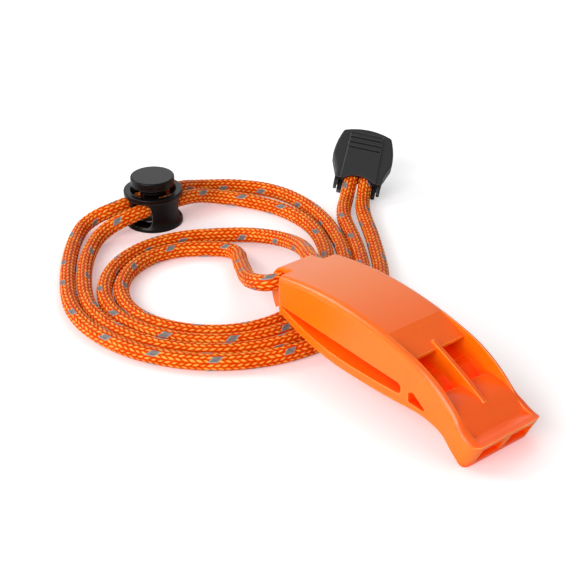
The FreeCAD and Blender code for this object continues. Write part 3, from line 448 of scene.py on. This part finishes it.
end_gap = add_node(tree, "ShaderNodeMath", {0: slanted.outputs[0]}, operation="ABSOLUTE")
end_share = add_node(tree, "ShaderNodeMath", {0: end_gap.outputs[0], 1: 2 / FLECK_LENGTH},
                     operation="MULTIPLY")
side_gap = add_node(tree, "ShaderNodeMath", {0: row_across.outputs[0]}, operation="ABSOLUTE")
side_share = add_node(tree, "ShaderNodeMath", {0: side_gap.outputs[0], 1: 2 / FLECK_WIDTH},
                      operation="MULTIPLY")
share = add_node(tree, "ShaderNodeMath", {0: end_share.outputs[0], 1: side_share.outputs[0]},
                 operation="MAXIMUM")
fleck = add_node(tree, "ShaderNodeMapRange", {"Value": share.outputs[0], "From Min": 1 - FLECK_BLUR,
                                              "From Max": 1 + FLECK_BLUR, "To Min": 1, "To Max": 0})
# Painted glint: the rim of each fleck is drawn paler.
painted_glint_rim = add_node(tree, "ShaderNodeMapRange", {"Value": share.outputs[0], "From Min": RIM_START,
                                            "From Max": RIM_FULL})

# %% [markdown]
# A colour ramp turns the height of the braid into a colour, from a painted red shade in the
# valleys to a painted pale highlight on the crowns. A random number for each stitch makes some
# of them lighter, and the shine is tinted orange. A fine noise stands for the threads, with 55
# cells round the cord, 0.24 mm apart.

# %% Yarn colour with painted shade and highlight, shine and the fine threads
STITCH_LIGHTER = 0.3
YARN_ORANGE_AT = 0.35
YARN_LIGHT_AT = 0.75
THREADS_ROUND = 55
THREAD_SHARE = 0.15
BRAID_BUMP = 0.3 * MM

stitch_name = add_node(tree, "ShaderNodeCombineXYZ", {0: index.outputs[0], 1: stitch.outputs[0]})
chance = add_node(tree, "ShaderNodeTexWhiteNoise", {"Vector": stitch_name.outputs[0]})
random_tone_and_painted_shade = add_node(tree, "ShaderNodeMath", {0: chance.outputs["Value"], 1: STITCH_LIGHTER, 2: crown.outputs[0]},
                operation="MULTIPLY_ADD")
# The ramp paints shade into the valleys and a highlight onto the crowns.
yarn_and_painted_shade = add_node(tree, "ShaderNodeValToRGB", {0: random_tone_and_painted_shade.outputs[0]})
yarn_and_painted_shade.color_ramp.elements[0].color = YARN_PAINTED_VALLEY_SHADE
yarn_and_painted_shade.color_ramp.elements[1].color = YARN_PAINTED_CROWN_HIGHLIGHT
yarn_and_painted_shade.color_ramp.elements.new(YARN_ORANGE_AT).color = YARN_ORANGE
yarn_and_painted_shade.color_ramp.elements.new(YARN_LIGHT_AT).color = YARN_LIGHT
grey = add_node(tree, "ShaderNodeMixRGB", {0: painted_glint_rim.outputs[0], 1: REFLECTIVE_GREY, 2: REFLECTIVE_PAINTED_GLINT})
dyed_and_painted_braid = add_node(tree, "ShaderNodeMixRGB", {0: fleck.outputs[0], 1: yarn_and_painted_shade.outputs[0], 2: grey.outputs[0]})
thread_place = add_node(tree, "ShaderNodeCombineXYZ", {0: place.outputs[0], 1: phase.outputs[0]})
threads = add_node(tree, "ShaderNodeTexNoise", {"Vector": thread_place.outputs[0], "Scale": THREADS_ROUND,
                                                "Detail": 2})
raised = add_node(tree, "ShaderNodeMath", {0: threads.outputs[0], 1: THREAD_SHARE, 2: crown.outputs[0]},
                  operation="MULTIPLY_ADD")
bump = add_node(tree, "ShaderNodeBump", {"Height": raised.outputs[0], "Strength": 0.5,
                                         "Distance": BRAID_BUMP})
tree.links.new(dyed_and_painted_braid.outputs[0], shader.inputs["Base Color"])
tree.links.new(bump.outputs[0], shader.inputs["Normal"])
shader.inputs["Roughness"].default_value = 0.34
shader.inputs["IOR"].default_value = 1.5
shader.inputs["Specular IOR Level"].default_value = 0.2
shader.inputs["Specular Tint"].default_value = YARN_SHINE
cord_mesh.materials.append(cord_material)

# %% [markdown]
# ## The cord as a piece
# The tube stands for the plain cord of the CAD model. It leaves the clip, and comes back to
# it, so its far end is in the object. The lock and the clip ride on the cord.

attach(cord, "whistle_and_cord")
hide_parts("lanyard_cord")

# %% [markdown]
# ## Moulded ABS for the whistle
# The whistle is moulded in ABS, dyed orange all through. The mould was polished, so the skin
# is satin and mirrors the panel behind in a broad, pale sheen on top. Light sinks a little way
# into the plastic and comes through the thin walls. What reaches the windows and slots that
# way has lost its yellow, and that light is painted in: Ambient Occlusion says how enclosed a
# place is, and where the walls are close it mixes a painted deep red-orange into the colour and
# adds a weak painted glow. The painted glow is strongest round one point between the two tone
# chambers, behind the windows. The lug is out in the open, so its hole keeps the plain colour.
# The skin over the windways is thin as well, so a painted redder colour and a weak painted glow
# are laid on the top towards the mouth. The moulding's edges are slightly round, and painted
# highlights draw them as thin pale lines of colour and glow. The Bevel node turns the normals
# there, and so the angle between its normal and the plain one finds the edges.


# %% Finding the edges for the painted highlights
# The cosine of the angle between the normals, and the share of open sky.
EDGE_START = 0.98
EDGE_FULL = 0.88
OPEN_START = 0.6
OPEN_FULL = 0.85


# The pale lines that go on these edges are painted highlights, in colour and in glow.
def edge_highlight_mask(tree, rounded, open_air):
    """Near 1 on an open edge that the Bevel node has rounded, and 0 on the faces beside it."""
    plain = add_node(tree, "ShaderNodeNewGeometry")
    turned = add_node(tree, "ShaderNodeVectorMath", {0: rounded.outputs[0], 1: plain.outputs["Normal"]},
                      operation="DOT_PRODUCT")
    highlight_edge_share = add_node(tree, "ShaderNodeMapRange", {
        "Value": turned.outputs["Value"], "From Min": EDGE_START, "From Max": EDGE_FULL})
    outside = add_node(tree, "ShaderNodeMapRange", {
        "Value": open_air.outputs["AO"], "From Min": OPEN_START, "From Max": OPEN_FULL})
    return add_node(tree, "ShaderNodeMath", {0: highlight_edge_share.outputs[0], 1: outside.outputs[0]},
                    operation="MULTIPLY").outputs[0]


# %% Whistle material
ABS_ORANGE = linear("#FF7400")
ABS_ORANGE_WARM = linear("#FF7C06")
ABS_PAINTED_RED_LIGHT = linear("#FF3000")
ABS_PAINTED_EDGE_HIGHLIGHT = linear("#FF9640")
FLOW_SIZE = 14 * MM
SKIN_GRAIN = 0.5 * MM
SKIN_DEPTH = 0.02 * MM
ABS_EDGE_ROUND = 0.35 * MM

abs_orange, tree, shader = new_material("moulded_orange_abs")
where = add_node(tree, "ShaderNodeTexCoord")
flow = add_node(tree, "ShaderNodeTexNoise", {"Vector": where.outputs["Object"], "Scale": 1 / FLOW_SIZE,
                                             "Detail": 2})
dye = add_node(tree, "ShaderNodeMixRGB", {0: flow.outputs[0], 1: ABS_ORANGE, 2: ABS_ORANGE_WARM})
skin = add_node(tree, "ShaderNodeTexNoise", {"Vector": where.outputs["Object"], "Scale": 1 / SKIN_GRAIN,
                                             "Detail": 3})
edges = add_node(tree, "ShaderNodeBevel", {"Radius": ABS_EDGE_ROUND}, samples=8)
bump = add_node(tree, "ShaderNodeBump", {"Height": skin.outputs[0], "Strength": 0.12, "Distance": SKIN_DEPTH,
                                         "Normal": edges.outputs[0]})

# %% Painted red light where light comes through
DEEP_REACH = 6 * MM
DEEP_START = 0.55    # the share of open sky under which the colour starts to change
DEEP_FULL = 0.05
DEEP_FROM_X = -34 * MM
DEEP_FULL_X = -30 * MM
TOP_START = 0.3    # the upward part of the surface's normal
TOP_FULL = 0.8
THIN_FROM_X = -15 * MM
THIN_FULL_X = 25 * MM
THIN_TOP_PAINTED_RED = 0.42

open_air = add_node(tree, "ShaderNodeAmbientOcclusion", {"Distance": DEEP_REACH}, samples=16)
deep = add_node(tree, "ShaderNodeMapRange", {"Value": open_air.outputs["AO"], "From Min": DEEP_FULL,
                                             "From Max": DEEP_START, "To Min": 1, "To Max": 0})
spot = add_node(tree, "ShaderNodeSeparateXYZ", {0: where.outputs["Object"]})
past_lug = add_node(tree, "ShaderNodeMapRange", {"Value": spot.outputs[0], "From Min": DEEP_FROM_X,
                                                 "From Max": DEEP_FULL_X})
painted_glow_hollows = add_node(tree, "ShaderNodeMath", {0: deep.outputs[0], 1: past_lug.outputs[0]}, operation="MULTIPLY")
surface = add_node(tree, "ShaderNodeNewGeometry")
facing = add_node(tree, "ShaderNodeSeparateXYZ", {0: surface.outputs["Normal"]})
on_top = add_node(tree, "ShaderNodeMapRange", {"Value": facing.outputs[2], "From Min": TOP_START,
                                               "From Max": TOP_FULL})
forward = add_node(tree, "ShaderNodeMapRange", {"Value": spot.outputs[0], "From Min": THIN_FROM_X,
                                                "From Max": THIN_FULL_X})
top_painted_light_share = add_node(tree, "ShaderNodeMath", {0: on_top.outputs[0], 1: forward.outputs[0]}, operation="MULTIPLY")
# Painted red light: a deep red-orange is mixed in, in the hollows and on the top towards the mouth.
painted_red_light_share = add_node(tree, "ShaderNodeMath", {0: top_painted_light_share.outputs[0], 1: THIN_TOP_PAINTED_RED, 2: painted_glow_hollows.outputs[0]},
                  operation="MULTIPLY_ADD", use_clamp=True)
dye_and_painted_red_light = add_node(tree, "ShaderNodeMixRGB", {0: painted_red_light_share.outputs[0], 1: dye.outputs[0], 2: ABS_PAINTED_RED_LIGHT})
highlight_edge_share = edge_highlight_mask(tree, edges, open_air)
# Painted highlight: a pale line of colour on the rounded edges.
painted_edge_highlight_mix = add_node(tree, "ShaderNodeMixRGB", {0: highlight_edge_share, 1: dye_and_painted_red_light.outputs[0], 2: ABS_PAINTED_EDGE_HIGHLIGHT})

# %% Painted glow of the chambers, the thin top and the edges
CHAMBERS_AT = Vector((15, 0, 12)) * MM
CHAMBER_FULL = 8.5 * MM
CHAMBER_END = 11 * MM
CHAMBER_GLOW = 0.32
WINDWAY_GLOW = 0.15
GLOW_START = 0.65    # the share of open sky under which the glow starts
GLOW_FULL = 0.1
THIN_GLOW = 0.07
PAINTED_EDGE_HIGHLIGHT_GLOW = 0.35

# Painted glow: emission in the chambers, the windways and on the top towards the mouth.
deepest = add_node(tree, "ShaderNodeMapRange", {"Value": open_air.outputs["AO"], "From Min": GLOW_FULL,
                                                "From Max": GLOW_START, "To Min": 1, "To Max": 0})
far_off = add_node(tree, "ShaderNodeVectorMath", {0: where.outputs["Object"], 1: CHAMBERS_AT},
                   operation="DISTANCE")
glow_here = add_node(tree, "ShaderNodeMapRange", {
    "Value": far_off.outputs["Value"], "From Min": CHAMBER_FULL, "From Max": CHAMBER_END,
    "To Min": CHAMBER_GLOW, "To Max": WINDWAY_GLOW})
inner_glow = add_node(tree, "ShaderNodeMath", {0: deepest.outputs[0], 1: glow_here.outputs[0]},
                      operation="MULTIPLY")
top_glow = add_node(tree, "ShaderNodeMath", {0: top_painted_light_share.outputs[0], 1: THIN_GLOW, 2: inner_glow.outputs[0]},
                    operation="MULTIPLY_ADD")
# Painted highlight: the edges also glow in their pale colour.
all_painted_glow = add_node(tree, "ShaderNodeMath", {0: highlight_edge_share, 1: PAINTED_EDGE_HIGHLIGHT_GLOW, 2: top_glow.outputs[0]},
                    operation="MULTIPLY_ADD")
painted_glow_colour = add_node(tree, "ShaderNodeMixRGB", {0: highlight_edge_share, 1: ABS_PAINTED_RED_LIGHT, 2: ABS_PAINTED_EDGE_HIGHLIGHT})
tree.links.new(painted_edge_highlight_mix.outputs[0], shader.inputs["Base Color"])
tree.links.new(bump.outputs[0], shader.inputs["Normal"])
tree.links.new(all_painted_glow.outputs[0], shader.inputs["Emission Strength"])
tree.links.new(painted_glow_colour.outputs[0], shader.inputs["Emission Color"])
shader.inputs["Roughness"].default_value = 0.3
shader.inputs["IOR"].default_value = 1.53
shader.inputs["Subsurface Weight"].default_value = 0.6
shader.inputs["Subsurface Radius"].default_value = (1.0, 0.45, 0.08)
shader.inputs["Subsurface Scale"].default_value = 1.5 * MM
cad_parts["whistle_body"].material_slots[0].material = abs_orange

# %% [markdown]
# ## Black plastic for the lock
# The lock's barrel and button are round mouldings in black nylon. Their satin skin shows a
# soft grey reflection on the top of the button and along the rims. The base is nearly black,
# so what shows as grey is the reflection, and a painted highlight draws a thin paler line
# along the open edges.

# %% Lock material
NYLON_DARK = linear("#070606")
NYLON_LIGHT = linear("#0D0C0C")
NYLON_PAINTED_EDGE_HIGHLIGHT = linear("#5C5C5C")
NYLON_GRAIN = 0.35 * MM
NYLON_GRAIN_DEPTH = 0.03 * MM
NYLON_EDGE_ROUND = 0.25 * MM
NYLON_EDGE_REACH = 2 * MM

nylon_black, tree, shader = new_material("satin_black_nylon")
where = add_node(tree, "ShaderNodeTexCoord")
skin = add_node(tree, "ShaderNodeTexNoise", {"Vector": where.outputs["Object"], "Scale": 1 / NYLON_GRAIN,
                                             "Detail": 3})
shade = add_node(tree, "ShaderNodeMixRGB", {0: skin.outputs[0], 1: NYLON_DARK, 2: NYLON_LIGHT})
edges = add_node(tree, "ShaderNodeBevel", {"Radius": NYLON_EDGE_ROUND}, samples=8)
bump = add_node(tree, "ShaderNodeBump", {"Height": skin.outputs[0], "Strength": 0.25,
                                         "Distance": NYLON_GRAIN_DEPTH, "Normal": edges.outputs[0]})
open_air = add_node(tree, "ShaderNodeAmbientOcclusion", {"Distance": NYLON_EDGE_REACH}, samples=8)
# Painted highlight: a thin paler line on the open edges.
painted_edge_highlight_mix = add_node(tree, "ShaderNodeMixRGB", {0: edge_highlight_mask(tree, edges, open_air), 1: shade.outputs[0],
                                            2: NYLON_PAINTED_EDGE_HIGHLIGHT})
tree.links.new(painted_edge_highlight_mix.outputs[0], shader.inputs["Base Color"])
tree.links.new(bump.outputs[0], shader.inputs["Normal"])
shader.inputs["Roughness"].default_value = 0.28
shader.inputs["IOR"].default_value = 1.52
shader.inputs["Specular IOR Level"].default_value = 0.2
for name in ("lock_barrel", "lock_plunger"):
    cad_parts[name].material_slots[0].material = nylon_black

# %% [markdown]
# ## Matte plastic for the clip
# The clip's two shells came from a spark-eroded mould, which leaves a fine matte grain. The
# grain is drawn a little coarser than it is, so that the picture still shows it. Little light
# gets into the finger grooves, so painted shade makes them nearly black, and painted highlights
# make the edges paler.

# %% Clip material
CHARCOAL_DARK = linear("#1E1E1F")
CHARCOAL_LIGHT = linear("#2C2C2D")
CHARCOAL_PAINTED_EDGE_HIGHLIGHT = linear("#5A5A5B")
# The near-black groove colour is painted shade.
GROOVE_PAINTED_SHADE = linear("#020202")
GROOVE_REACH = 1.2 * MM
GROOVE_START = 0.97    # the share of open sky under which a groove starts to darken
GROOVE_FULL = 0.72
SPARK_GRAIN = 0.3 * MM
SPARK_GRAIN_DEPTH = 0.05 * MM
CLIP_EDGE_ROUND = 0.2 * MM

clip_black, tree, shader = new_material("spark_grained_charcoal_plastic")
where = add_node(tree, "ShaderNodeTexCoord")
grain = add_node(tree, "ShaderNodeTexNoise", {"Vector": where.outputs["Object"], "Scale": 1 / SPARK_GRAIN,
                                              "Detail": 4})
shade = add_node(tree, "ShaderNodeMixRGB", {0: grain.outputs[0], 1: CHARCOAL_DARK, 2: CHARCOAL_LIGHT})
edges = add_node(tree, "ShaderNodeBevel", {"Radius": CLIP_EDGE_ROUND}, samples=8)
bump = add_node(tree, "ShaderNodeBump", {"Height": grain.outputs[0], "Strength": 0.4,
                                         "Distance": SPARK_GRAIN_DEPTH, "Normal": edges.outputs[0]})
# Painted shade: the finger grooves are darkened where little sky is open.
open_air = add_node(tree, "ShaderNodeAmbientOcclusion", {"Distance": GROOVE_REACH}, samples=16)
outside = add_node(tree, "ShaderNodeMapRange", {"Value": open_air.outputs["AO"], "From Min": GROOVE_FULL,
                                                "From Max": GROOVE_START})
with_painted_groove_shade = add_node(tree, "ShaderNodeMixRGB", {0: outside.outputs[0], 1: GROOVE_PAINTED_SHADE, 2: shade.outputs[0]})
# Painted highlight: the edges are drawn paler.
painted_edge_highlight_mix = add_node(tree, "ShaderNodeMixRGB", {0: edge_highlight_mask(tree, edges, open_air), 1: with_painted_groove_shade.outputs[0],
                                            2: CHARCOAL_PAINTED_EDGE_HIGHLIGHT})
tree.links.new(painted_edge_highlight_mix.outputs[0], shader.inputs["Base Color"])
tree.links.new(bump.outputs[0], shader.inputs["Normal"])
shader.inputs["Roughness"].default_value = 0.5
shader.inputs["IOR"].default_value = 1.5
for name in ("clip_front_shell", "clip_back_shell"):
    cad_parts[name].material_slots[0].material = clip_black

# %% [markdown]
# ## The spring
# A conical spring of drawn steel wire pushes the lock's button up. It is turned here from one
# small ring with a Screw modifier, then narrowed towards its top. It flattens when the button
# is pressed, and its coils then lie inside each other.

# %% Spring
spring_low, spring_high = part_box("lock_spring")
WIRE_RADIUS = 0.225 * MM
WIRE_SIDES = 10
SPRING_TURNS = 2.5
COIL_STEPS = 100
SPRING_FOOT_RADIUS = 4.7 * MM
SPRING_TOP_RADIUS = 3.0 * MM
LOCK_CENTRE = Vector((-107.0, 4.5, 0)) * MM
wire_foot = spring_low.z + WIRE_RADIUS
wire_top = spring_high.z - WIRE_RADIUS

bpy.ops.object.select_all(action="DESELECT")
bpy.ops.mesh.primitive_circle_add(vertices=WIRE_SIDES, radius=WIRE_RADIUS, rotation=(math.pi / 2, 0, 0))
spring = bpy.context.active_object
spring.name = "conical_spring"
bpy.ops.object.transform_apply(location=False, rotation=True, scale=False)
bpy.ops.object.mode_set(mode="EDIT")
bpy.ops.mesh.select_all(action="SELECT")
bpy.ops.transform.translate(value=(SPRING_FOOT_RADIUS, 0, 0))
bpy.ops.object.mode_set(mode="OBJECT")
coil = spring.modifiers.new("coil", "SCREW")
coil.angle = 2 * math.pi * SPRING_TURNS
coil.screw_offset = wire_top - wire_foot
coil.steps = coil.render_steps = COIL_STEPS
bpy.ops.object.modifier_apply(modifier="coil")
for vertex in spring.data.vertices:
    climbed = vertex.co.z / (wire_top - wire_foot)
    inward = (SPRING_TOP_RADIUS - SPRING_FOOT_RADIUS) * min(1, max(0, climbed))
    flat = Vector((vertex.co.x, vertex.co.y, 0)).normalized()
    vertex.co += flat * inward + LOCK_CENTRE + Vector((0, 0, wire_foot))
bpy.ops.object.mode_set(mode="EDIT")
bpy.ops.mesh.select_all(action="SELECT")
bpy.ops.mesh.normals_make_consistent(inside=False)
bpy.ops.object.mode_set(mode="OBJECT")
bpy.ops.object.shade_smooth()

# %% [markdown]
# The wire was pulled through a die, which leaves it bright, with a faint streaky tone.

# %% Spring material
STEEL_DARK = linear("#A9A9AB")
STEEL_LIGHT = linear("#C6C6C8")
STREAK_SIZE = 0.4 * MM

wire_steel, tree, shader = new_material("drawn_spring_steel")
where = add_node(tree, "ShaderNodeTexCoord")
drawn = add_node(tree, "ShaderNodeTexNoise", {"Vector": where.outputs["Object"], "Scale": 1 / STREAK_SIZE,
                                              "Detail": 2})
shade = add_node(tree, "ShaderNodeMixRGB", {0: drawn.outputs[0], 1: STEEL_DARK, 2: STEEL_LIGHT})
tree.links.new(shade.outputs[0], shader.inputs["Base Color"])
shader.inputs["Metallic"].default_value = 1.0
shader.inputs["Roughness"].default_value = 0.3
spring.data.materials.append(wire_steel)

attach(spring, "whistle_and_cord")
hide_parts("lock_spring")
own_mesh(spring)
